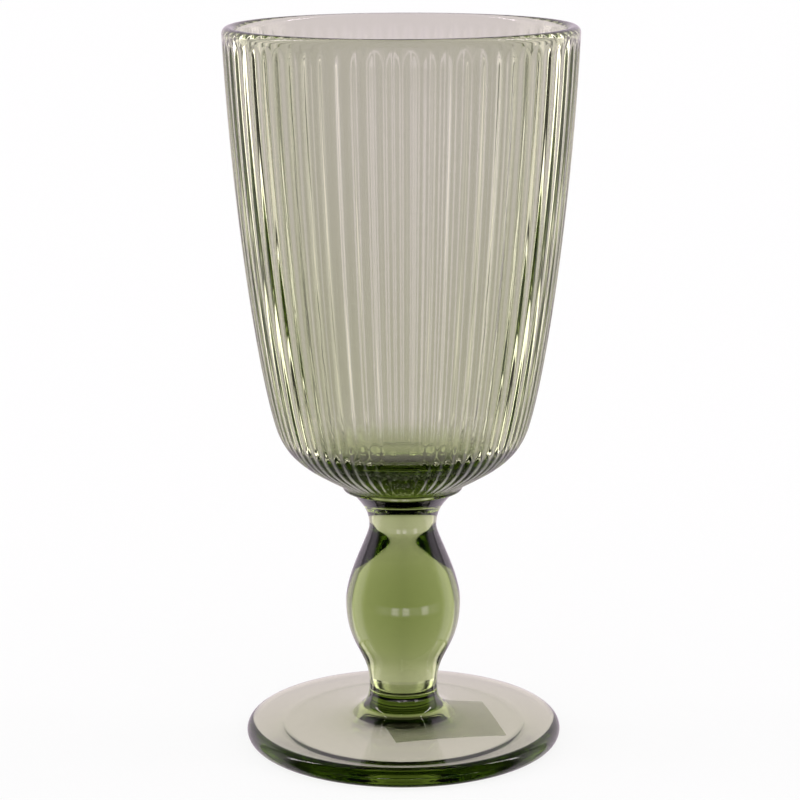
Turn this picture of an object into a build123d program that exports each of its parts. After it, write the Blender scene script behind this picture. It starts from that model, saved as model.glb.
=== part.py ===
from build123d import *
import os
from math import cos, pi, radians, sin, sqrt, tan

# Driving dimensions in millimetres and degrees
FOOT_DIAMETER = 73.4
FOOT_EDGE_THICKNESS = 4.6
FOOT_TOP_RISE = 2.15
FOOT_TOP_BEND = 11.0
FOOT_TOP_SLOPE = 4.2
FOOT_NECK_DIAMETER = 15.8
FOOT_NECK_HEIGHT = 13.2
FLARE_REACH = 6.0
HOLLOW_DIAMETER = 54.0
HOLLOW_DEPTH = 1.6
RING_DIAMETER = 55.6
RING_SLOPE_REACH = 0.4
RING_DROP = 0.03

STEM_LENGTH = 46.8
KNOP_DIAMETER = 26.57
KNOP_LIFT = 20.0
WAIST_DIAMETER = 15.5
WAIST_LIFT = 38.1
STEM_HEAD_DIAMETER = 24.5

BOWL_HEIGHT = 106.0
RIM_DIAMETER = 79.8
LIP_THICKNESS = 3.1
COLLAR_DIAMETER = 27.6
COLLAR_THICKNESS = 1.0
COLLAR_ROUND = 0.4
HEEL_DIAMETER = 58.0
HEEL_LIFT = 14.9
HEEL_LEAN = 17.6
BASE_SLOPE = 30.0
BASE_THICKNESS = 11.0
HEEL_WALL = 5.3
FLOOR_CORNER = 3.5
FLOOR_DISH = 0.5
FLUTE_COUNT = 66
FLUTE_DEPTH = 0.32
FLUTE_TURN = 2.9
GROOVE_SHARE = 0.4
FLUTE_TOP_DROP = 2.4
LEDGE = 0.05

LABEL_LENGTH = 26.0
LABEL_WIDTH = 21.5
LABEL_THICKNESS = 0.12
LABEL_TURN = 14.0
LABEL_RIGHT = 8.3
LABEL_FORWARD = 3.4

# How far the curves' inner points lie along their end tangents, as shares of the height climbed
HEEL_LOW_PULL = 0.61
HEEL_HIGH_PULL = 0.57
WALL_LOW_PULL = 0.155
WALL_HIGH_PULL = 0.40
WALL_HIGH_INSET = 0.0165
CAVITY_LOW_PULL = 0.17
KNOP_LOW_PULL = 0.39
KNOP_UNDER_PULL = 0.55
KNOP_OVER_PULL = 0.36
WAIST_UNDER_PULL = 0.14
WAIST_OVER_PULL = 0.53
HEAD_INSET = 0.375
HEAD_PULL = 0.27
FLARE_INSET = 0.80
FLARE_LIFT = 0.09
NECK_PULL = 0.75

# Where the fluted sections stand, as shares along the heel curve and up the wall
HEEL_STATIONS = (0.0, 0.14, 0.28, 0.42, 0.56, 0.7, 0.85)
WALL_STATIONS = (0.0, 0.1, 0.25, 0.4, 0.6, 0.8, 1.0)

# Levels along the axis, measured from the table
FOOT_TOP = FOOT_NECK_HEIGHT
STEM_TOP = FOOT_TOP + STEM_LENGTH
BOWL_BASE = STEM_TOP
COLLAR_TOP = BOWL_BASE + COLLAR_THICKNESS
HEEL_LEVEL = BOWL_BASE + HEEL_LIFT
FLOOR_LEVEL = BOWL_BASE + BASE_THICKNESS
RIM_TOP = BOWL_BASE + BOWL_HEIGHT
LIP_LEVEL = RIM_TOP - LIP_THICKNESS / 2
FLUTE_TOP = RIM_TOP - FLUTE_TOP_DROP

# Radii
RIM_RADIUS = RIM_DIAMETER / 2
LIP_RADIUS = RIM_RADIUS - LIP_THICKNESS / 2
COLLAR_RADIUS = COLLAR_DIAMETER / 2
HEEL_RADIUS = HEEL_DIAMETER / 2
KNOP_RADIUS = KNOP_DIAMETER / 2
WAIST_RADIUS = WAIST_DIAMETER / 2
NECK_RADIUS = FOOT_NECK_DIAMETER / 2
HEAD_RADIUS = STEM_HEAD_DIAMETER / 2
FOOT_RADIUS = FOOT_DIAMETER / 2
HOLLOW_RADIUS = HOLLOW_DIAMETER / 2
RING_RADIUS = RING_DIAMETER / 2


def moved(point, length, angle):
    """A point of a section moved along an angle from the outward radius."""
    return point[0] + length * cos(radians(angle)), point[1] + length * sin(radians(angle))


def cubic(points, share):
    """Place on a cubic curve at a share of its length of parameter."""
    rest = 1 - share
    weights = (rest**3, 3 * rest * rest * share, 3 * rest * share * share, share**3)
    across = sum(weight * point[0] for weight, point in zip(weights, points))
    up = sum(weight * point[1] for weight, point in zip(weights, points))
    return across, up


def cap_height(radius, rim_radius, depth):
    """Height of a shallow spherical cap over its rim, at a radius."""
    sphere = (rim_radius**2 + depth**2) / (2 * depth)
    return sqrt(sphere**2 - radius**2) - (sphere - depth)


def hollow_point(radius, drop=0.0):
    """Place on the hollow under the foot, or below it by a drop."""
    return radius, cap_height(radius, HOLLOW_RADIUS, HOLLOW_DEPTH) - drop


# Outer bowl line: a heel curve from the collar to the heel, then the flaring wall to the rim
heel_rise = HEEL_LEVEL - COLLAR_TOP
wall_rise = LIP_LEVEL - HEEL_LEVEL
wall_angle = 90 - HEEL_LEAN
collar_point = (COLLAR_RADIUS, COLLAR_TOP)
heel_point = (HEEL_RADIUS, HEEL_LEVEL)
HEEL_CURVE = (
    collar_point,
    moved(collar_point, HEEL_LOW_PULL * heel_rise, BASE_SLOPE),
    moved(heel_point, -HEEL_HIGH_PULL * heel_rise, wall_angle),
    heel_point,
)
WALL_CURVE = (
    heel_point,
    moved(heel_point, WALL_LOW_PULL * wall_rise, wall_angle),
    (RIM_RADIUS - WALL_HIGH_INSET * wall_rise, LIP_LEVEL - WALL_HIGH_PULL * wall_rise),
    (RIM_RADIUS, LIP_LEVEL),
)


def wall_share(level):
    """Share along the wall curve at which it reaches a level."""
    low, high = 0.0, 1.0
    for _ in range(40):
        middle = (low + high) / 2
        if cubic(WALL_CURVE, middle)[1] < level:
            low = middle
        else:
            high = middle
    return low


# Flute sections: crest radius, level and depth, a hair inside the collar and the lip
stations = []
for share in HEEL_STATIONS:
    radius, level = cubic(HEEL_CURVE, share)
    slope_gain = 2 / (1 + share)
    stations.append((radius - LEDGE, level, slope_gain * FLUTE_DEPTH * radius / RIM_RADIUS))
top_share = wall_share(FLUTE_TOP)
for share in WALL_STATIONS:
    radius, level = cubic(WALL_CURVE, share * top_share)
    stations.append((radius - LEDGE, level, FLUTE_DEPTH * radius / RIM_RADIUS))
flute_top_radius = cubic(WALL_CURVE, top_share)[0]


def around(radius, turn):
    """Place on a circle, counted in flutes from a ridge."""
    angle = 2 * pi * turn / FLUTE_COUNT + radians(FLUTE_TURN)
    return radius * cos(angle), radius * sin(angle)


# Bowl: pressed cup with fluted outside, smooth cavity, thick base and a collar under it
with BuildPart() as bowl:
    for crest, level, depth in stations:
        flank = crest - (1 - GROOVE_SHARE) * depth
        with BuildSketch(Plane.XY.offset(level)):
            with BuildLine():
                for flute in range(FLUTE_COUNT):
                    middle = flute + 0.5
                    groove_start = middle - GROOVE_SHARE / 2
                    groove_end = middle + GROOVE_SHARE / 2
                    ThreePointArc(
                        around(flank, groove_start),
                        around(crest - depth, middle),
                        around(flank, groove_end),
                    )
                    ThreePointArc(
                        around(flank, groove_end),
                        around(crest, flute + 1),
                        around(flank, groove_start + 1),
                    )
            make_face()
    loft(ruled=True)
    with BuildSketch(Plane.XZ):
        with BuildLine():
            Polyline(
                (LIP_RADIUS, RIM_TOP),
                (0, RIM_TOP),
                (0, FLUTE_TOP),
                (flute_top_radius, FLUTE_TOP),
                (RIM_RADIUS, LIP_LEVEL),
            )
            RadiusArc((RIM_RADIUS, LIP_LEVEL), (LIP_RADIUS, RIM_TOP), -LIP_THICKNESS / 2)
        make_face()
    revolve(axis=Axis.Z)
    with BuildSketch(Plane.XZ) as collar_section:
        with BuildLine():
            Polyline(
                (0, BOWL_BASE),
                (COLLAR_RADIUS, BOWL_BASE),
                (COLLAR_RADIUS, COLLAR_TOP),
                (0, COLLAR_TOP),
                close=True,
            )
        make_face()
        corner = collar_section.vertices().sort_by_distance((COLLAR_RADIUS, 0, BOWL_BASE))[0]
        fillet(corner, COLLAR_ROUND)
    revolve(axis=Axis.Z)
    with BuildSketch(Plane.XZ) as cavity_section:
        inside_rim = RIM_RADIUS - LIP_THICKNESS
        inside_floor = HEEL_RADIUS - HEEL_WALL
        cavity_rise = LIP_LEVEL - FLOOR_LEVEL
        low_pull = CAVITY_LOW_PULL * cavity_rise
        floor_middle = FLOOR_LEVEL - cap_height(inside_floor / 2, inside_floor, FLOOR_DISH)
        over_rim = RIM_TOP + LIP_THICKNESS
        with BuildLine():
            ThreePointArc(
                (0, FLOOR_LEVEL - FLOOR_DISH),
                (inside_floor / 2, floor_middle),
                (inside_floor, FLOOR_LEVEL),
            )
            Bezier(
                (inside_floor, FLOOR_LEVEL),
                (inside_floor + low_pull * sin(radians(HEEL_LEAN)), FLOOR_LEVEL + low_pull),
                (inside_rim - WALL_HIGH_INSET * cavity_rise, LIP_LEVEL - WALL_HIGH_PULL * cavity_rise),
                (inside_rim, LIP_LEVEL),
            )
            RadiusArc((inside_rim, LIP_LEVEL), (LIP_RADIUS, RIM_TOP), LIP_THICKNESS / 2)
            Polyline(
                (LIP_RADIUS, RIM_TOP),
                (LIP_RADIUS, over_rim),
                (0, over_rim),
                (0, FLOOR_LEVEL - FLOOR_DISH),
            )
        make_face()
        corner = cavity_section.vertices().sort_by_distance((inside_floor, 0, FLOOR_LEVEL))[0]
        fillet(corner, FLOOR_CORNER)
    revolve(axis=Axis.Z, mode=Mode.SUBTRACT)

# Stem: solid baluster with a waist under the flared head
knop_level = FOOT_TOP + KNOP_LIFT
waist_level = FOOT_TOP + WAIST_LIFT
upper_rise = waist_level - knop_level
head_rise = STEM_TOP - waist_level
head_inset = HEAD_INSET * (HEAD_RADIUS - WAIST_RADIUS)
with BuildPart() as stem:
    with BuildSketch(Plane.XZ):
        with BuildLine():
            Polyline((HEAD_RADIUS, STEM_TOP), (0, STEM_TOP), (0, FOOT_TOP), (NECK_RADIUS, FOOT_TOP))
            Bezier(
                (NECK_RADIUS, FOOT_TOP),
                (NECK_RADIUS, FOOT_TOP + KNOP_LOW_PULL * KNOP_LIFT),
                (KNOP_RADIUS, knop_level - KNOP_UNDER_PULL * KNOP_LIFT),
                (KNOP_RADIUS, knop_level),
            )
            Bezier(
                (KNOP_RADIUS, knop_level),
                (KNOP_RADIUS, knop_level + KNOP_OVER_PULL * upper_rise),
                (WAIST_RADIUS, waist_level - WAIST_UNDER_PULL * upper_rise),
                (WAIST_RADIUS, waist_level),
            )
            Bezier(
                (WAIST_RADIUS, waist_level),
                (WAIST_RADIUS, waist_level + WAIST_OVER_PULL * head_rise),
                (HEAD_RADIUS - head_inset, STEM_TOP - HEAD_PULL * head_rise),
                (HEAD_RADIUS, STEM_TOP),
            )
        make_face()
    revolve(axis=Axis.Z)

# Foot: disc with a rounded edge, a top that bends up to the neck and a shallow hollow inside the resting ring
edge_round = (FOOT_EDGE_THICKNESS - RING_DROP) / 2
edge_radius = FOOT_RADIUS - edge_round
flare_radius = NECK_RADIUS + FLARE_REACH
flare_level = FOOT_EDGE_THICKNESS + FOOT_TOP_RISE
flare_rise = FOOT_TOP - flare_level
top_bend = (edge_radius - FOOT_TOP_BEND, FOOT_EDGE_THICKNESS + FOOT_TOP_BEND * tan(radians(FOOT_TOP_SLOPE)))
with BuildPart() as foot:
    with BuildSketch(Plane.XZ):
        with BuildLine():
            Polyline((NECK_RADIUS, FOOT_TOP), (0, FOOT_TOP), hollow_point(0))
            ThreePointArc(hollow_point(0), hollow_point(HOLLOW_RADIUS / 2), (HOLLOW_RADIUS, 0))
            Polyline(
                (HOLLOW_RADIUS, 0),
                (RING_RADIUS, 0),
                (RING_RADIUS + RING_SLOPE_REACH, RING_DROP),
                (edge_radius, RING_DROP),
            )
            ThreePointArc(
                (edge_radius, RING_DROP),
                (FOOT_RADIUS, RING_DROP + edge_round),
                (edge_radius, FOOT_EDGE_THICKNESS),
            )
            Bezier((edge_radius, FOOT_EDGE_THICKNESS), top_bend, (flare_radius, flare_level))
            Bezier(
                (flare_radius, flare_level),
                (flare_radius - FLARE_INSET * FLARE_REACH, flare_level + FLARE_LIFT * flare_rise),
                (NECK_RADIUS, FOOT_TOP - NECK_PULL * flare_rise),
                (NECK_RADIUS, FOOT_TOP),
            )
        make_face()
    revolve(axis=Axis.Z)

# Blank adhesive label stuck up into the hollow and following its curve
with BuildPart() as blank_label:
    with BuildSketch(Plane.XZ):
        with BuildLine():
            ThreePointArc(hollow_point(0), hollow_point(HOLLOW_RADIUS / 2), (HOLLOW_RADIUS, 0))
            Line((HOLLOW_RADIUS, 0), (HOLLOW_RADIUS, -LABEL_THICKNESS))
            ThreePointArc(
                (HOLLOW_RADIUS, -LABEL_THICKNESS),
                hollow_point(HOLLOW_RADIUS / 2, LABEL_THICKNESS),
                hollow_point(0, LABEL_THICKNESS),
            )
            Line(hollow_point(0, LABEL_THICKNESS), hollow_point(0))
        make_face()
    revolve(axis=Axis.Z)
    with BuildSketch(Plane.XY.offset(-LABEL_THICKNESS)):
        with Locations((LABEL_RIGHT, -LABEL_FORWARD)):
            Rectangle(LABEL_LENGTH, LABEL_WIDTH, rotation=LABEL_TURN)
    extrude(amount=HOLLOW_DEPTH + 2 * LABEL_THICKNESS, mode=Mode.INTERSECT)

os.makedirs("parts", exist_ok=True)
for name, body in (("bowl", bowl), ("stem", stem), ("foot", foot), ("blank_label", blank_label)):
    body.part.label = name
    export_step(body.part, f"parts/{name}.step")
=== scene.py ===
from math import cos, pi, radians, sin, tan

import bpy
import numpy as np
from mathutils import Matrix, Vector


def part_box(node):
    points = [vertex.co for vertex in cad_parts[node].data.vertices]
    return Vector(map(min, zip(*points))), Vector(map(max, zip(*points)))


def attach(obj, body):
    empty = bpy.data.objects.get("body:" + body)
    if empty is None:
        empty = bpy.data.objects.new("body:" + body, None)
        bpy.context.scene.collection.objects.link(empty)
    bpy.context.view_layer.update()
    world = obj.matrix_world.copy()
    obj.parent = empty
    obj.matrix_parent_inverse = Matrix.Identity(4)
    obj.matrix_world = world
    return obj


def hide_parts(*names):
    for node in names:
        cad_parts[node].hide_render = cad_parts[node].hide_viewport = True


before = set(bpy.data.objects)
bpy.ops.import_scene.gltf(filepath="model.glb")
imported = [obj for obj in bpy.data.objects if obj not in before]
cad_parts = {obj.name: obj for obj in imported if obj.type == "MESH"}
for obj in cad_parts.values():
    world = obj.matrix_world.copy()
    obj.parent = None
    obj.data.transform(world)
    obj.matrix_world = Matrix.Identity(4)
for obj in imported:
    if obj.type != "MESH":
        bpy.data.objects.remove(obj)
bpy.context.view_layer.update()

MM = 0.001

# Sizes read from the frame, in metres
FOOT_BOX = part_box("foot")
STEM_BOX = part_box("stem")
BOWL_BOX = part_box("bowl")
FOOT_RADIUS = FOOT_BOX[1].x
FOOT_TOP = FOOT_BOX[1].z
STEM_TOP = STEM_BOX[1].z
KNOP_RADIUS = STEM_BOX[1].x
RIM_RADIUS = BOWL_BOX[1].x
RIM_TOP = BOWL_BOX[1].z

# Sizes that the boxes do not give, the same as in the solids
FOOT_EDGE_THICKNESS = 4.6 * MM
FOOT_TOP_RISE = 2.15 * MM
FOOT_TOP_BEND = 11.0 * MM
FOOT_TOP_SLOPE = radians(4.2)
FLARE_REACH = 6.0 * MM
NECK_RADIUS = 7.9 * MM
HOLLOW_RADIUS = 27.0 * MM
HOLLOW_DEPTH = 1.6 * MM
RING_RADIUS = 27.8 * MM
RING_SLOPE_REACH = 0.4 * MM
RING_DROP = 0.03 * MM
KNOP_LIFT = 20.0 * MM
WAIST_RADIUS = 7.75 * MM
WAIST_LIFT = 38.1 * MM
HEAD_RADIUS = 12.25 * MM
LIP_THICKNESS = 3.1 * MM
COLLAR_RADIUS = 13.8 * MM
COLLAR_THICKNESS = 1.0 * MM
COLLAR_ROUND = 0.4 * MM
HEEL_RADIUS = 29.0 * MM
HEEL_LIFT = 14.9 * MM
HEEL_LEAN = radians(17.6)
BASE_SLOPE = radians(30)
BASE_THICKNESS = 11.0 * MM
HEEL_WALL = 5.3 * MM
FLOOR_CORNER = 3.5 * MM
FLOOR_DISH = 0.5 * MM
FLUTE_COUNT = 66
FLUTE_DEPTH = 0.32 * MM
FLUTE_TURN = radians(2.9)
GROOVE_SHARE = 0.4
FLUTE_TOP_DROP = 2.4 * MM
LABEL_LENGTH = 26.0 * MM
LABEL_WIDTH = 21.5 * MM
LABEL_TURN = radians(14)
LABEL_RIGHT = 8.3 * MM
LABEL_FORWARD = 3.4 * MM
LABEL_THICKNESS = 0.12 * MM
LABEL_GAP = 0.02 * MM

# How far the curves' inner points lie along their end tangents, as shares of the height climbed
FLARE_INSET = 0.80
FLARE_LIFT = 0.09
NECK_PULL = 0.75
KNOP_LOW_PULL = 0.39
KNOP_UNDER_PULL = 0.55
KNOP_OVER_PULL = 0.36
WAIST_UNDER_PULL = 0.14
WAIST_OVER_PULL = 0.53
HEAD_INSET = 0.375
HEAD_PULL = 0.27
HEEL_LOW_PULL = 0.61
HEEL_HIGH_PULL = 0.57
WALL_LOW_PULL = 0.155
WALL_HIGH_PULL = 0.40
WALL_HIGH_INSET = 0.0165
CAVITY_LOW_PULL = 0.17
CORNER_REACH = 1.15
CORNER_PULL = 0.56

# Flute ends: an arch at the top and a shorter one above the collar
ARCH_LENGTH = 4.0 * MM
FLUTE_TOP_MARGIN = 0.1 * MM
LOW_ARCH_REACH = 1.5 * MM
LOW_ARCH_MARGIN = 0.6 * MM
LOW_ARCH_HALF_PITCHES = 2.5

# Fused faces: set back from each other, and without any bending of light
WELD_GAP = 0.02 * MM
WELD_INSET = 0.05 * MM
FUSED_IOR = 1.0

# Points along the runs of each turned line, and columns round the axis
CURVE_POINTS = 400
HOLLOW_POINTS = 25
RING_POINTS = 4
UNDERSIDE_POINTS = 6
FOOT_EDGE_POINTS = 33
FOOT_TOP_POINTS = 24
FLARE_POINTS = 28
KNOP_POINTS = 40
HEAD_POINTS = 24
COLLAR_POINTS = 3
COLLAR_ROUND_POINTS = 6
HEEL_POINTS = 33
CLOSE_SPAN = 8.0 * MM
LOW_WALL_ROWS = 5
WALL_ROWS = 25
ARCH_ROWS = 12
TOP_WALL_POINTS = 4
LIP_POINTS = 19
LIP_FULL_ROWS = 12
CAVITY_ROWS = 13
LOW_CAVITY_POINTS = 5
CORNER_POINTS = 12
FLOOR_POINTS = 10
FLUTE_COLUMNS = 12
ROUND_COLUMNS = 240
LABEL_CELLS = 24

# Levels of the bowl
BOWL_BASE = STEM_TOP
COLLAR_TOP = BOWL_BASE + COLLAR_THICKNESS
HEEL_LEVEL = BOWL_BASE + HEEL_LIFT
FLOOR_LEVEL = BOWL_BASE + BASE_THICKNESS
LIP_ROUND = LIP_THICKNESS / 2
LIP_LEVEL = RIM_TOP - LIP_ROUND
FLUTE_TOP = RIM_TOP - FLUTE_TOP_DROP
ARCH_START = FLUTE_TOP - ARCH_LENGTH

# Glass and film
GLASS_IOR = 1.52
GLASS_TINT = (0.423, 0.551, 0.0, 1)
GLASS_DENSITY = 91.5
GLASS_WAVE_SCALE = 90.0
GLASS_WAVE_HEIGHT = 0.02 * MM
FILM_ROUGHNESS = 0.5
FILM_CLEARNESS = 0.85
FILM_GRAIN_SCALE = 900.0
FILM_GRAIN_HEIGHT = 0.01 * MM
FILM_DARK = (0.86, 0.83, 0.77, 1)
FILM_LIGHT = (0.96, 0.93, 0.87, 1)
WHITE = (1, 1, 1, 1)

# Camera at the photograph's place
PHOTO_PIXELS = 800
FOCAL_PIXELS = 2622
CAMERA_DISTANCE = 586.3 * MM
CAMERA_HEIGHT = 210.5 * MM
CAMERA_SIDE = -0.1 * MM
CAMERA_PITCH = radians(12.48)
CAMERA_ROLL = radians(-0.2)
CAMERA_CLIP = 10.0 * MM
SENSOR_WIDTH = 36.0

# Floor, and its glow by degrees aside from straight in front, in metres from the axis
STUDIO_TINT = (1.0, 0.87, 0.99, 1)
FLOOR_SIZE = 6.0
FLOOR_DROP = 0.05 * MM
FLOOR_SHADE_SHARE = 0.18
FLOOR_COLOUR = (0.9, 0.9, 0.9, 1)
FLOOR_ROUGHNESS = 0.9
GLOW_LEVELS = (
    (-60, 0.0), (-40, 0.7), (-24, 0.7), (-19, 3.6), (-11, 3.6), (-6, 0.7), (-3, 0.7), (1, 3.6), (9, 3.6),
    (14, 0.7), (34, 0.7), (39, 3.6), (47, 3.6), (52, 0.7), (60, 0.7), (80, 0.0),
)
GLOW_NEAR = 0.105
GLOW_NEAR_FULL = 0.15
GLOW_FADE = 0.6
GLOW_FAR = 1.2

# Studio round the object: levels by degrees aside from straight behind it, as seen through solid glass
# or in reflections, and as seen through both ribbed walls of the bowl
BACK_LEVELS = (
    (0, 0.80), (8, 0.85), (30, 0.95), (42, 1.15), (53, 1.40), (57, 0.60), (63, 0.60),
    (68, 1.00), (84, 1.00), (92, 0.30), (97, 0.03), (180, 0.03),
)
WALL_LEVELS = (
    (0, 0.68), (16, 0.72), (20, 1.10), (28, 1.10), (32, 0.12), (40, 0.12), (44, 2.80), (54, 2.80),
    (58, 0.03), (64, 0.03), (68, 1.20), (84, 1.20), (90, 0.20), (97, 0.03), (180, 0.03),
)

# The same studio by degrees of elevation; the inner values are for light reflected on its way
UPPER_WALL = 0.8
UPPER_WALL_LOW = 12.0
UPPER_WALL_HIGH = 30.0
CEILING = 0.2
CEILING_START = 66.0
CEILING_FULL = 80.0
INNER_CEILING_START = 30.0
INNER_CEILING_FULL = 45.0
INNER_TABLE = 0.3
INNER_TABLE_LOW = -65.0
INNER_TABLE_HIGH = -42.0
STRIP_AZIMUTH = 84.0
STRIP_HALF_WIDTH = 3.0
STRIP_SIDE_SOFT = 1.0
STRIP_LOW = 27.0
STRIP_HIGH = 55.0
STRIP_END_SOFT = 3.0
STRIP_STRENGTH = 9.0

# Depths of a ray, half-way between the counts that they tell apart
AT_ALL = 0.5
ONE_PIECE = 1.5
BOTH_WALLS = 3.5
MOST_BOUNCES = 40
MOST_REFLECTIONS = 16

HALF_TURN = 180
DEGREES = HALF_TURN / pi


def bezier(points, count):
    """Points along a cubic curve, as rows of radius and height."""
    t = np.linspace(0, 1, count)[:, None]
    s = 1 - t
    a, b, c, d = (np.array(p) for p in points)
    return s**3 * a + 3 * s * s * t * b + 3 * s * t * t * c + t**3 * d


def bent(first, bend, last, count):
    """Points along a curve that leaves and reaches its ends straight from and to one bend point."""
    t = np.linspace(0, 1, count)[:, None]
    s = 1 - t
    return s * s * np.array(first) + 2 * s * t * np.array(bend) + t * t * np.array(last)


def arc(centre, radius, start, end, count):
    """Points along a circular arc, angles in degrees from the outward radius."""
    angle = np.radians(np.linspace(start, end, count))
    return np.column_stack([centre[0] + radius * np.cos(angle), centre[1] + radius * np.sin(angle)])


def straight(first, last, count):
    return np.linspace(first, last, count)


def fused_face(radius, level, lift):
    """Joint face from the axis out to its ring, set back by a lift from the ring's level."""
    return np.array([(0, level + lift), (radius - WELD_INSET, level + lift), (radius, level)])


def joined(*runs):
    """Runs put end to end, with each shared end kept once."""
    line = [runs[0]]
    for run in runs[1:]:
        line.append(run[1:])
    return np.vstack(line)


def row_at(line, radius, height):
    """Index of the point of a line nearest to a radius and height."""
    return int(np.argmin(np.hypot(line[:, 0] - radius, line[:, 1] - height)))


def at_levels(curve, levels):
    """Points of a climbing curve at given heights."""
    return np.column_stack([np.interp(levels, curve[:, 1], curve[:, 0]), levels])


def new_object(name, mesh):
    piece = bpy.data.objects.new(name, mesh)
    bpy.context.scene.collection.objects.link(piece)
    return piece


def fan(pole, ring):
    """Triangles from a pole to each pair of neighbours in a ring."""
    return [(pole, here, after) for here, after in zip(ring.tolist(), np.roll(ring, -1).tolist())]


def band(low, high):
    """Faces between two rings, of which the second may have half the points of the first."""
    if len(low) == len(high):
        return np.column_stack([low, np.roll(low, -1), np.roll(high, -1), high])
    first, second = low[::2], low[1::2]
    return np.column_stack([first, second, np.roll(first, -1), np.roll(high, -1), high])


def turned(name, line, angles, inward=None, weld_rows=(), sharp_rows=(), halve_from=None):
    """Closed glass body turned about the axis from a line whose two ends are on the axis.

    inward, where given, moves each point of the grid in along its row's normal.
    weld_rows are pairs of row numbers whose band is a fused joint, sharp_rows are creases.
    From the row halve_from on, only every second column is kept."""
    body = line[1:-1]
    step = np.gradient(line, axis=0)[1:-1]
    length = np.hypot(step[:, 0], step[:, 1])
    normal = np.column_stack([step[:, 1], -step[:, 0]]) / length[:, None]
    rows, columns = len(body), len(angles)
    depth = np.zeros((rows, columns)) if inward is None else inward[1:-1]
    radius = body[:, 0:1] - normal[:, 0:1] * depth
    height = body[:, 1:2] - normal[:, 1:2] * depth
    grid = np.stack([radius * np.cos(angles), radius * np.sin(angles), height + 0 * radius], axis=-1)

    full_rows = rows if halve_from is None else halve_from
    half = columns // 2
    rings = [row * columns + np.arange(columns) for row in range(full_rows)]
    rings += [full_rows * columns + row * half + np.arange(half) for row in range(rows - full_rows)]
    poles = [[0, 0, line[0, 1]], [0, 0, line[-1, 1]]]
    verts = np.vstack([grid[:full_rows].reshape(-1, 3), grid[full_rows:, ::2].reshape(-1, 3), poles])
    first_pole, last_pole = len(verts) - 2, len(verts) - 1
    faces = [(pole, after, here) for pole, here, after in fan(first_pole, rings[0])]
    face_row = [0] * columns
    for row, (low, high) in enumerate(zip(rings[:-1], rings[1:]), 1):
        between = band(low, high)
        faces.extend(map(tuple, between.tolist()))
        face_row.extend([row] * len(between))
    faces += fan(last_pole, rings[-1])
    face_row.extend([rows] * len(rings[-1]))

    mesh = bpy.data.meshes.new(name)
    mesh.from_pydata(verts.tolist(), [], faces)
    mesh.polygons.foreach_set("use_smooth", np.ones(len(faces), bool))
    face_row = np.array(face_row)
    ior = np.full(len(faces), GLASS_IOR, np.float32)
    for start, end in weld_rows:
        ior[(face_row >= start) & (face_row < end)] = FUSED_IOR
    mesh.attributes.new("glass_ior", "FLOAT", "FACE").data.foreach_set("value", ior)

    ends = np.zeros(len(mesh.edges) * 2, np.int32)
    mesh.edges.foreach_get("vertices", ends)
    row_of = [np.full(len(ring), row) for row, ring in enumerate(rings, 1)]
    row_of = np.concatenate(row_of + [[0, rows + 1]])[ends.reshape(-1, 2)]
    crease = np.zeros(len(mesh.edges), bool)
    for row in sharp_rows:
        crease |= (row_of[:, 0] == row) & (row_of[:, 1] == row)
    mesh.attributes.new("sharp_edge", "BOOLEAN", "EDGE").data.foreach_set("value", crease)
    mesh.update()
    return new_object(name, mesh)


def even_angles():
    return np.linspace(0, 2 * pi, ROUND_COLUMNS, endpoint=False)


def hollow_height(radius):
    """Height of the hollow under the foot, an arc that is nearly a parabola."""
    return HOLLOW_DEPTH * (1 - (radius / HOLLOW_RADIUS)**2)


# Foot: hollow, resting ring, rounded edge, top, flare and the fused face at the neck
def make_foot():
    edge_round = (FOOT_EDGE_THICKNESS - RING_DROP) / 2
    edge_centre = (FOOT_RADIUS - edge_round, RING_DROP + edge_round)
    edge_top = (edge_centre[0], FOOT_EDGE_THICKNESS)
    top_bend = (edge_top[0] - FOOT_TOP_BEND, edge_top[1] + FOOT_TOP_BEND * tan(FOOT_TOP_SLOPE))
    flare_foot = (NECK_RADIUS + FLARE_REACH, FOOT_EDGE_THICKNESS + FOOT_TOP_RISE)
    flare_rise = FOOT_TOP - flare_foot[1]
    ring_end = (RING_RADIUS + RING_SLOPE_REACH, RING_DROP)
    hollow_radii = np.linspace(0, HOLLOW_RADIUS, HOLLOW_POINTS)
    flare = bezier((
        flare_foot,
        (flare_foot[0] - FLARE_INSET * FLARE_REACH, flare_foot[1] + FLARE_LIFT * flare_rise),
        (NECK_RADIUS, FOOT_TOP - NECK_PULL * flare_rise),
        (NECK_RADIUS, FOOT_TOP),
    ), FLARE_POINTS)
    line = joined(
        np.column_stack([hollow_radii, hollow_height(hollow_radii)]),
        straight((HOLLOW_RADIUS, 0), (RING_RADIUS, 0), RING_POINTS),
        straight((RING_RADIUS, 0), ring_end, RING_POINTS),
        straight(ring_end, (edge_centre[0], RING_DROP), UNDERSIDE_POINTS),
        arc(edge_centre, edge_round, -90, 90, FOOT_EDGE_POINTS),
        bent(edge_top, top_bend, flare_foot, FOOT_TOP_POINTS),
        flare,
        fused_face(NECK_RADIUS, FOOT_TOP, -WELD_GAP)[::-1],
    )
    ring = row_at(line, NECK_RADIUS, FOOT_TOP)
    return turned("foot_glass", line, even_angles(), weld_rows=[(ring, len(line))], sharp_rows=[ring])


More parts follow.
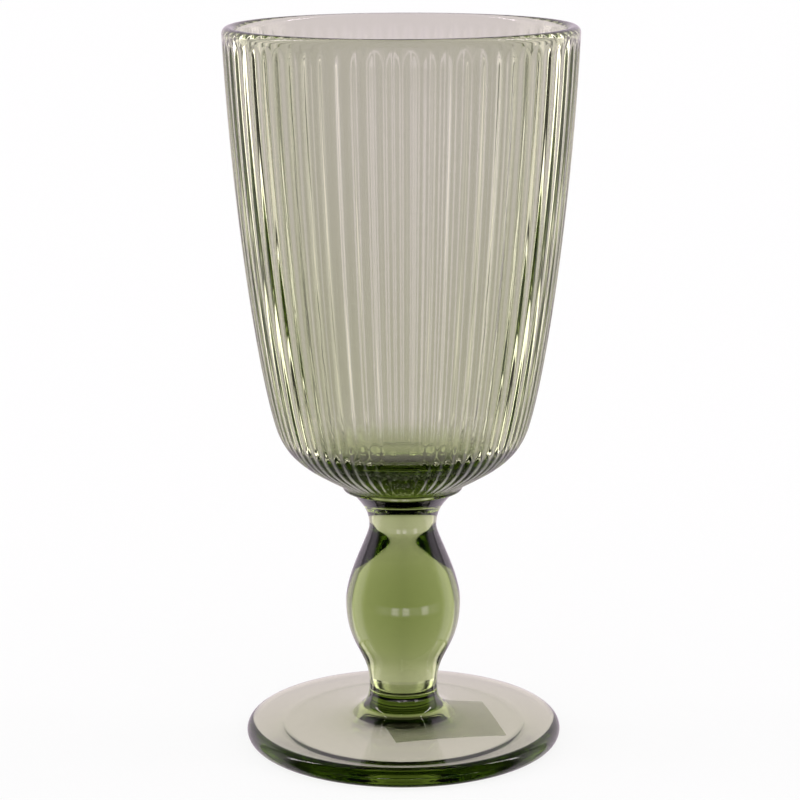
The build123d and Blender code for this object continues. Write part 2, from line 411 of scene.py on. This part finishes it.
# Stem: baluster between two fused faces
def make_stem():
    knop_level = FOOT_TOP + KNOP_LIFT
    waist_level = FOOT_TOP + WAIST_LIFT
    upper_rise = waist_level - knop_level
    head_rise = STEM_TOP - waist_level
    knop_low = bezier((
        (NECK_RADIUS, FOOT_TOP),
        (NECK_RADIUS, FOOT_TOP + KNOP_LOW_PULL * KNOP_LIFT),
        (KNOP_RADIUS, knop_level - KNOP_UNDER_PULL * KNOP_LIFT),
        (KNOP_RADIUS, knop_level),
    ), KNOP_POINTS)
    knop_high = bezier((
        (KNOP_RADIUS, knop_level),
        (KNOP_RADIUS, knop_level + KNOP_OVER_PULL * upper_rise),
        (WAIST_RADIUS, waist_level - WAIST_UNDER_PULL * upper_rise),
        (WAIST_RADIUS, waist_level),
    ), KNOP_POINTS)
    head = bezier((
        (WAIST_RADIUS, waist_level),
        (WAIST_RADIUS, waist_level + WAIST_OVER_PULL * head_rise),
        (HEAD_RADIUS - HEAD_INSET * (HEAD_RADIUS - WAIST_RADIUS), STEM_TOP - HEAD_PULL * head_rise),
        (HEAD_RADIUS, STEM_TOP),
    ), HEAD_POINTS)
    line = joined(
        fused_face(NECK_RADIUS, FOOT_TOP, WELD_GAP),
        knop_low,
        knop_high,
        head,
        fused_face(HEAD_RADIUS, STEM_TOP, -WELD_GAP)[::-1],
    )
    low_ring = row_at(line, NECK_RADIUS, FOOT_TOP)
    high_ring = row_at(line, HEAD_RADIUS, STEM_TOP)
    welds = [(0, low_ring), (high_ring, len(line))]
    return turned("stem_glass", line, even_angles(), weld_rows=welds, sharp_rows=[low_ring, high_ring])


def heel_points():
    rise = HEEL_LEVEL - COLLAR_TOP
    low_pull = HEEL_LOW_PULL * rise
    high_pull = HEEL_HIGH_PULL * rise
    return bezier((
        (COLLAR_RADIUS, COLLAR_TOP),
        (COLLAR_RADIUS + low_pull * cos(BASE_SLOPE), COLLAR_TOP + low_pull * sin(BASE_SLOPE)),
        (HEEL_RADIUS - high_pull * sin(HEEL_LEAN), HEEL_LEVEL - high_pull * cos(HEEL_LEAN)),
        (HEEL_RADIUS, HEEL_LEVEL),
    ), HEEL_POINTS)


def wall_points():
    """Outside of the wall, with closer rows over the heel and in the arched flute ends."""
    rise = LIP_LEVEL - HEEL_LEVEL
    pull = WALL_LOW_PULL * rise
    curve = bezier((
        (HEEL_RADIUS, HEEL_LEVEL),
        (HEEL_RADIUS + pull * sin(HEEL_LEAN), HEEL_LEVEL + pull * cos(HEEL_LEAN)),
        (RIM_RADIUS - WALL_HIGH_INSET * rise, LIP_LEVEL - WALL_HIGH_PULL * rise),
        (RIM_RADIUS, LIP_LEVEL),
    ), CURVE_POINTS)
    close_end = HEEL_LEVEL + CLOSE_SPAN
    flute_end = FLUTE_TOP + FLUTE_TOP_MARGIN
    levels = np.concatenate([
        np.linspace(HEEL_LEVEL, close_end, LOW_WALL_ROWS, endpoint=False),
        np.linspace(close_end, ARCH_START, WALL_ROWS, endpoint=False),
        np.linspace(ARCH_START, flute_end, ARCH_ROWS, endpoint=False),
        np.linspace(flute_end, LIP_LEVEL, TOP_WALL_POINTS),
    ])
    return at_levels(curve, levels)


def cavity_points():
    """Inside of the bowl from the lip down to the dished floor's middle."""
    rim = RIM_RADIUS - LIP_THICKNESS
    low = HEEL_RADIUS - HEEL_WALL
    rise = LIP_LEVEL - FLOOR_LEVEL
    low_pull = CAVITY_LOW_PULL * rise
    curve = bezier((
        (rim, LIP_LEVEL),
        (rim - WALL_HIGH_INSET * rise, LIP_LEVEL - WALL_HIGH_PULL * rise),
        (low + low_pull * sin(HEEL_LEAN), FLOOR_LEVEL + low_pull),
        (low, FLOOR_LEVEL),
    ), CURVE_POINTS)
    corner_top = FLOOR_LEVEL + FLOOR_CORNER
    levels = np.concatenate([
        np.linspace(LIP_LEVEL, corner_top + CLOSE_SPAN, CAVITY_ROWS, endpoint=False),
        np.linspace(corner_top + CLOSE_SPAN, corner_top, LOW_CAVITY_POINTS),
    ])
    wall = at_levels(curve[::-1], levels)
    start = wall[-1]
    slope = (start - wall[-2]) / np.hypot(*(start - wall[-2]))
    end = (start[0] - CORNER_REACH * FLOOR_CORNER, FLOOR_LEVEL)
    pull = CORNER_PULL * FLOOR_CORNER
    corner = bezier((start, start + pull * slope, (end[0] + pull, FLOOR_LEVEL), end), CORNER_POINTS)
    floor_radii = np.linspace(end[0], 0, FLOOR_POINTS)
    floor_heights = FLOOR_LEVEL - FLOOR_DISH * (1 - (floor_radii / end[0])**2)
    return joined(wall, corner, np.column_stack([floor_radii, floor_heights]))


def flute_columns():
    """Angles of the bowl's columns, and where each lies across its flute, from -1 to 1."""
    across = np.linspace(-1, 1, FLUTE_COLUMNS, endpoint=False)
    turns = np.arange(FLUTE_COUNT)[:, None] + (across[None, :] + 1) / 2
    return (2 * pi / FLUTE_COUNT * turns).ravel() + FLUTE_TURN, np.tile(across, FLUTE_COUNT)


def flute_depths(line, spread, low_row, arch_row, top_row):
    """How far in each point of the grid lies: a hollow groove between rounded ribs, with arched ends."""
    run = np.concatenate([[0], np.cumsum(np.hypot(*np.diff(line, axis=0).T))])
    half_pitch = pi * (COLLAR_RADIUS + LOW_ARCH_REACH) / FLUTE_COUNT
    low_end = run[low_row] + LOW_ARCH_MARGIN
    low_start = low_end + LOW_ARCH_HALF_PITCHES * half_pitch
    end_share = np.maximum((run - run[arch_row]) / ARCH_LENGTH, (low_start - run) / (low_start - low_end))
    end_share = np.clip(end_share, 0, 1)
    inward = np.zeros((len(line), len(spread)))
    for row in range(low_row, top_row):
        reach = 1 - end_share[row]**2
        if reach <= 0:
            continue
        edge = np.minimum(abs(spread) / np.sqrt(reach), 1)
        groove = 1 - edge**2 / GROOVE_SHARE
        rib = (1 - edge)**2 / (1 - GROOVE_SHARE)
        full = FLUTE_DEPTH * line[row, 0] / RIM_RADIUS
        inward[row] = full * reach * np.where(edge < GROOVE_SHARE, groove, rib)
    return inward


# Bowl: fused face, collar, fluted outside with arched flute ends, lip and smooth cavity
def make_bowl():
    collar_centre = (COLLAR_RADIUS - COLLAR_ROUND, BOWL_BASE + COLLAR_ROUND)
    lip_centre = (RIM_RADIUS - LIP_ROUND, LIP_LEVEL)
    wall = wall_points()
    line = joined(
        fused_face(HEAD_RADIUS, BOWL_BASE, WELD_GAP),
        straight((HEAD_RADIUS, BOWL_BASE), (collar_centre[0], BOWL_BASE), COLLAR_POINTS),
        arc(collar_centre, COLLAR_ROUND, -90, 0, COLLAR_ROUND_POINTS),
        straight((COLLAR_RADIUS, collar_centre[1]), (COLLAR_RADIUS, COLLAR_TOP), COLLAR_POINTS),
        heel_points(),
        wall,
        arc(lip_centre, LIP_ROUND, 0, 180, LIP_POINTS),
        cavity_points(),
    )
    ring = row_at(line, HEAD_RADIUS, BOWL_BASE)
    low_row = row_at(line, COLLAR_RADIUS, COLLAR_TOP)
    arch_row = row_at(line, *wall[LOW_WALL_ROWS + WALL_ROWS])
    top_row = row_at(line, RIM_RADIUS, LIP_LEVEL)
    angles, spread = flute_columns()
    inward = flute_depths(line, spread, low_row, arch_row, top_row)
    return turned("bowl_glass", line, angles, inward=inward, weld_rows=[(0, ring)], sharp_rows=[ring],
                  halve_from=top_row + LIP_FULL_ROWS)


# Blank adhesive film under the foot, following the hollow
def make_label():
    steps = np.linspace(-0.5, 0.5, LABEL_CELLS + 1)
    across, along = np.meshgrid(LABEL_LENGTH * steps, LABEL_WIDTH * steps)
    x = LABEL_RIGHT + across * cos(LABEL_TURN) - along * sin(LABEL_TURN)
    y = across * sin(LABEL_TURN) + along * cos(LABEL_TURN) - LABEL_FORWARD
    top = hollow_height(np.hypot(x, y)) - LABEL_GAP
    low = top + LABEL_GAP - LABEL_THICKNESS
    verts = np.vstack([np.column_stack([x.ravel(), y.ravel(), top.ravel()]),
                       np.column_stack([x.ravel(), y.ravel(), low.ravel()])])
    side = LABEL_CELLS + 1
    under = side * side
    number = np.arange(under).reshape(side, side)
    cells = np.stack([number[:-1, :-1], number[:-1, 1:], number[1:, 1:], number[1:, :-1]], axis=-1)
    cells = cells.reshape(-1, 4)
    rim = np.concatenate([number[0, :-1], number[:-1, -1], number[-1, :0:-1], number[:0:-1, 0]])
    after = np.roll(rim, -1)
    edge = np.column_stack([rim, rim + under, after + under, after])
    faces = np.vstack([cells, cells[:, ::-1] + under, edge])
    mesh = bpy.data.meshes.new("label_film")
    mesh.from_pydata(verts.tolist(), [], faces.tolist())
    return new_object("label_film", mesh)


class Nodes:
    """Short ways to add nodes to one node tree."""

    SPARE_PLACE = 0.5

    def __init__(self, tree):
        self.nodes = tree.nodes
        self.links = tree.links

    def new(self, kind):
        return self.nodes.new("ShaderNode" + kind)

    def set(self, socket, value):
        if isinstance(value, (int, float)):
            socket.default_value = value
        else:
            self.links.new(value, socket)

    def maths(self, operation, first, second=0.0):
        node = self.new("Math")
        node.operation = operation
        self.set(node.inputs[0], first)
        self.set(node.inputs[1], second)
        return node.outputs["Value"]

    def times(self, *values):
        product = values[0]
        for value in values[1:]:
            product = self.maths("MULTIPLY", product, value)
        return product

    def either(self, switch, off, on):
        """One of two values, by a switch of nought or one."""
        kept = self.maths("MULTIPLY", off, self.maths("SUBTRACT", 1, switch))
        return self.maths("ADD", kept, self.maths("MULTIPLY", on, switch))

    def ramp(self, value, low, high, at_low, at_high):
        """Smooth step between two values."""
        node = self.new("MapRange")
        node.interpolation_type = "SMOOTHSTEP"
        names = ("Value", "From Min", "From Max", "To Min", "To Max")
        for name, given in zip(names, (value, low, high, at_low, at_high)):
            self.set(node.inputs[name], given)
        return node.outputs["Result"]

    def patch(self, value, centre, half_width, soft):
        """One inside a band of values, nought outside it."""
        away = self.maths("ABSOLUTE", self.maths("SUBTRACT", value, centre))
        return self.ramp(away, half_width - soft, half_width + soft, 1, 0)

    def stops(self, value, levels):
        """Levels joined by straight runs over a value."""
        low, high = levels[0][0], levels[-1][0]
        top = max(level for _, level in levels)
        node = self.new("ValToRGB")
        share = self.maths("DIVIDE", self.maths("SUBTRACT", value, low), high - low)
        self.links.new(share, node.inputs["Fac"])
        elements = node.color_ramp.elements
        while len(elements) < len(levels):
            elements.new(self.SPARE_PLACE)
        for element, (place, level) in zip(elements, levels):
            element.position = (place - low) / (high - low)
            element.color = (level / top, level / top, level / top, 1)
        return self.maths("MULTIPLY", node.outputs["Color"], top)

    def degrees(self, across, along):
        return self.maths("MULTIPLY", self.maths("ARCTAN2", across, along), DEGREES)

    def split(self, vector):
        node = self.new("SeparateXYZ")
        self.links.new(vector, node.inputs["Vector"])
        return node.outputs["X"], node.outputs["Y"], node.outputs["Z"]

    def waves(self, shader, scale, height):
        """Slight unevenness of a surface, from noise fixed to the piece."""
        place = self.new("TexCoord")
        noise = self.new("TexNoise")
        noise.inputs["Scale"].default_value = scale
        noise.inputs["Detail"].default_value = 1.0
        bump = self.new("Bump")
        bump.inputs["Distance"].default_value = height
        self.links.new(place.outputs["Object"], noise.inputs["Vector"])
        self.links.new(noise.outputs["Fac"], bump.inputs["Height"])
        self.links.new(bump.outputs["Normal"], shader.inputs["Normal"])
        return noise.outputs["Fac"]


def new_material(name):
    """A material, its nodes, and the shader and output that it starts with."""
    material = bpy.data.materials.new(name)
    material.use_nodes = True
    nodes = material.node_tree.nodes
    return material, Nodes(material.node_tree), nodes["Principled BSDF"], nodes["Material Output"]


# Green tinted pressed glass: clear surface, colour from absorption in the body
def make_glass():
    material, add, shader, output = new_material("tinted_glass")
    shader.inputs["Base Color"].default_value = WHITE
    shader.inputs["Transmission Weight"].default_value = 1.0
    shader.inputs["Roughness"].default_value = 0.0
    ior = add.new("Attribute")
    ior.attribute_name = "glass_ior"
    add.links.new(ior.outputs["Fac"], shader.inputs["IOR"])
    absorb = add.new("VolumeAbsorption")
    absorb.inputs["Color"].default_value = GLASS_TINT
    absorb.inputs["Density"].default_value = GLASS_DENSITY
    add.links.new(absorb.outputs["Volume"], output.inputs["Volume"])
    add.waves(shader, GLASS_WAVE_SCALE, GLASS_WAVE_HEIGHT)
    return material


# Plain translucent film, faintly mottled
def make_film():
    material, add, shader, _ = new_material("plain_film")
    shader.inputs["Roughness"].default_value = FILM_ROUGHNESS
    shader.inputs["Transmission Weight"].default_value = FILM_CLEARNESS
    colour = add.new("Mix")
    colour.data_type = "RGBA"
    colour.inputs["A"].default_value = FILM_DARK
    colour.inputs["B"].default_value = FILM_LIGHT
    noise = add.waves(shader, FILM_GRAIN_SCALE, FILM_GRAIN_HEIGHT)
    add.links.new(noise, colour.inputs["Factor"])
    add.links.new(colour.outputs["Result"], shader.inputs["Base Color"])
    return material


def make_camera():
    data = bpy.data.cameras.new("photo_camera")
    data.sensor_width = SENSOR_WIDTH
    data.lens = FOCAL_PIXELS / PHOTO_PIXELS * SENSOR_WIDTH
    data.clip_start = CAMERA_CLIP
    camera = new_object("photo_camera", data)
    camera.location = (CAMERA_SIDE, -CAMERA_DISTANCE, CAMERA_HEIGHT)
    camera.rotation_euler = (pi / 2 - CAMERA_PITCH, -CAMERA_ROLL, 0)
    bpy.context.scene.camera = camera


def make_paper():
    """White to the camera with a faint shadow; to glass and reflections the studio shows instead."""
    material, add, shader, output = new_material("floor_paper")
    links = add.links
    shader.inputs["Base Color"].default_value = FLOOR_COLOUR
    shader.inputs["Roughness"].default_value = FLOOR_ROUGHNESS
    shader.inputs["Specular IOR Level"].default_value = 0.0
    shown = add.new("Emission")
    shown.inputs["Color"].default_value = WHITE
    shade = add.new("MixShader")
    shade.inputs["Fac"].default_value = FLOOR_SHADE_SHARE
    links.new(shown.outputs["Emission"], shade.inputs[1])
    links.new(shader.outputs["BSDF"], shade.inputs[2])

    path = add.new("LightPath").outputs
    x, y, _ = add.split(add.new("NewGeometry").outputs["Position"])
    away = add.maths("SQRT", add.maths("ADD", add.times(x, x), add.times(y, y)))
    glow = add.times(
        add.stops(add.degrees(x, add.times(y, -1)), GLOW_LEVELS),
        add.ramp(away, GLOW_NEAR, GLOW_NEAR_FULL, 0, 1),
        add.ramp(away, GLOW_FADE, GLOW_FAR, 1, 0),
        add.maths("LESS_THAN", path["Transmission Depth"], AT_ALL),
    )
    lit = add.new("Emission")
    lit.inputs["Color"].default_value = STUDIO_TINT
    links.new(glow, lit.inputs["Strength"])
    seen = add.new("AddShader")
    links.new(add.new("BsdfTransparent").outputs["BSDF"], seen.inputs[0])
    links.new(lit.outputs["Emission"], seen.inputs[1])

    by_ray = add.new("MixShader")
    links.new(add.maths("MAXIMUM", path["Is Glossy Ray"], path["Is Transmission Ray"]), by_ray.inputs["Fac"])
    links.new(shade.outputs["Shader"], by_ray.inputs[1])
    links.new(seen.outputs["Shader"], by_ray.inputs[2])
    links.new(by_ray.outputs["Shader"], output.inputs["Surface"])
    return material


# Pale floor
def make_floor():
    size = FLOOR_SIZE
    corners = [(-size, -size, 0), (size, -size, 0), (size, size, 0), (-size, size, 0)]
    mesh = bpy.data.meshes.new("floor")
    mesh.from_pydata(corners, [], [(0, 1, 2, 3)])
    mesh.materials.append(make_paper())
    floor = new_object("floor", mesh)
    floor.location.z = -FLOOR_DROP


def studio_level(add, path, aside, elevation):
    """Level of the studio in a direction, by how the ray went through the glass."""
    folded = add.maths("MINIMUM", aside, add.maths("SUBTRACT", HALF_TURN, aside))
    turned_back = add.maths("GREATER_THAN", path["Glossy Depth"], AT_ALL)
    both_walls = add.maths("GREATER_THAN", path["Transmission Depth"], BOTH_WALLS)
    inside = add.maths("GREATER_THAN", path["Transmission Depth"], ONE_PIECE)
    straight_level = add.either(both_walls, add.stops(folded, BACK_LEVELS), add.stops(folded, WALL_LEVELS))
    turned_level = add.either(inside, add.stops(aside, BACK_LEVELS), add.stops(aside, WALL_LEVELS))
    inner = add.times(
        add.ramp(elevation, INNER_TABLE_LOW, INNER_TABLE_HIGH, INNER_TABLE, 1),
        add.ramp(elevation, INNER_CEILING_START, INNER_CEILING_FULL, 1, CEILING),
    )
    return add.times(
        add.either(turned_back, straight_level, turned_level),
        add.either(turned_back, 1, inner),
        add.ramp(elevation, UPPER_WALL_LOW, UPPER_WALL_HIGH, 1, UPPER_WALL),
        add.ramp(elevation, CEILING_START, CEILING_FULL, 1, CEILING),
    )


# World: the studio for glass and reflections, plain white for the camera and for matt surfaces
def make_world():
    world = bpy.data.worlds.new("studio")
    bpy.context.scene.world = world
    world.use_nodes = True
    add = Nodes(world.node_tree)
    links = add.links
    x, y, z = add.split(add.new("TexCoord").outputs["Generated"])
    aside = add.maths("ABSOLUTE", add.degrees(x, y))
    elevation = add.maths("MULTIPLY", add.maths("ARCSINE", z), DEGREES)
    path = add.new("LightPath").outputs
    strips = add.times(
        add.patch(aside, STRIP_AZIMUTH, STRIP_HALF_WIDTH, STRIP_SIDE_SOFT),
        add.patch(elevation, (STRIP_LOW + STRIP_HIGH) / 2, (STRIP_HIGH - STRIP_LOW) / 2, STRIP_END_SOFT),
        STRIP_STRENGTH,
    )
    level = add.maths("ADD", studio_level(add, path, aside, elevation), strips)
    studio = add.new("Mix")
    studio.data_type = "RGBA"
    studio.blend_type = "MULTIPLY"
    studio.inputs["Factor"].default_value = 1.0
    studio.inputs["A"].default_value = STUDIO_TINT
    links.new(level, studio.inputs["B"])
    matt = add.maths("GREATER_THAN", path["Diffuse Depth"], AT_ALL)
    by_ray = add.new("Mix")
    by_ray.data_type = "RGBA"
    by_ray.inputs["B"].default_value = WHITE
    links.new(add.maths("MAXIMUM", path["Is Camera Ray"], matt), by_ray.inputs["Factor"])
    links.new(studio.outputs["Result"], by_ray.inputs["A"])
    links.new(by_ray.outputs["Result"], world.node_tree.nodes["Background"].inputs["Color"])


glass = make_glass()
for piece, node in ((make_foot(), "foot"), (make_stem(), "stem"), (make_bowl(), "bowl")):
    piece.data.materials.append(glass)
    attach(piece, "root")
    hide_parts(node)
label = make_label()
label.data.materials.append(make_film())
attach(label, "root")
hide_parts("blank_label")

make_camera()
make_floor()
make_world()
scene = bpy.context.scene
scene.view_settings.view_transform = "Standard"
scene.cycles.max_bounces = MOST_BOUNCES
scene.cycles.transmission_bounces = MOST_BOUNCES
scene.cycles.glossy_bounces = MOST_REFLECTIONS
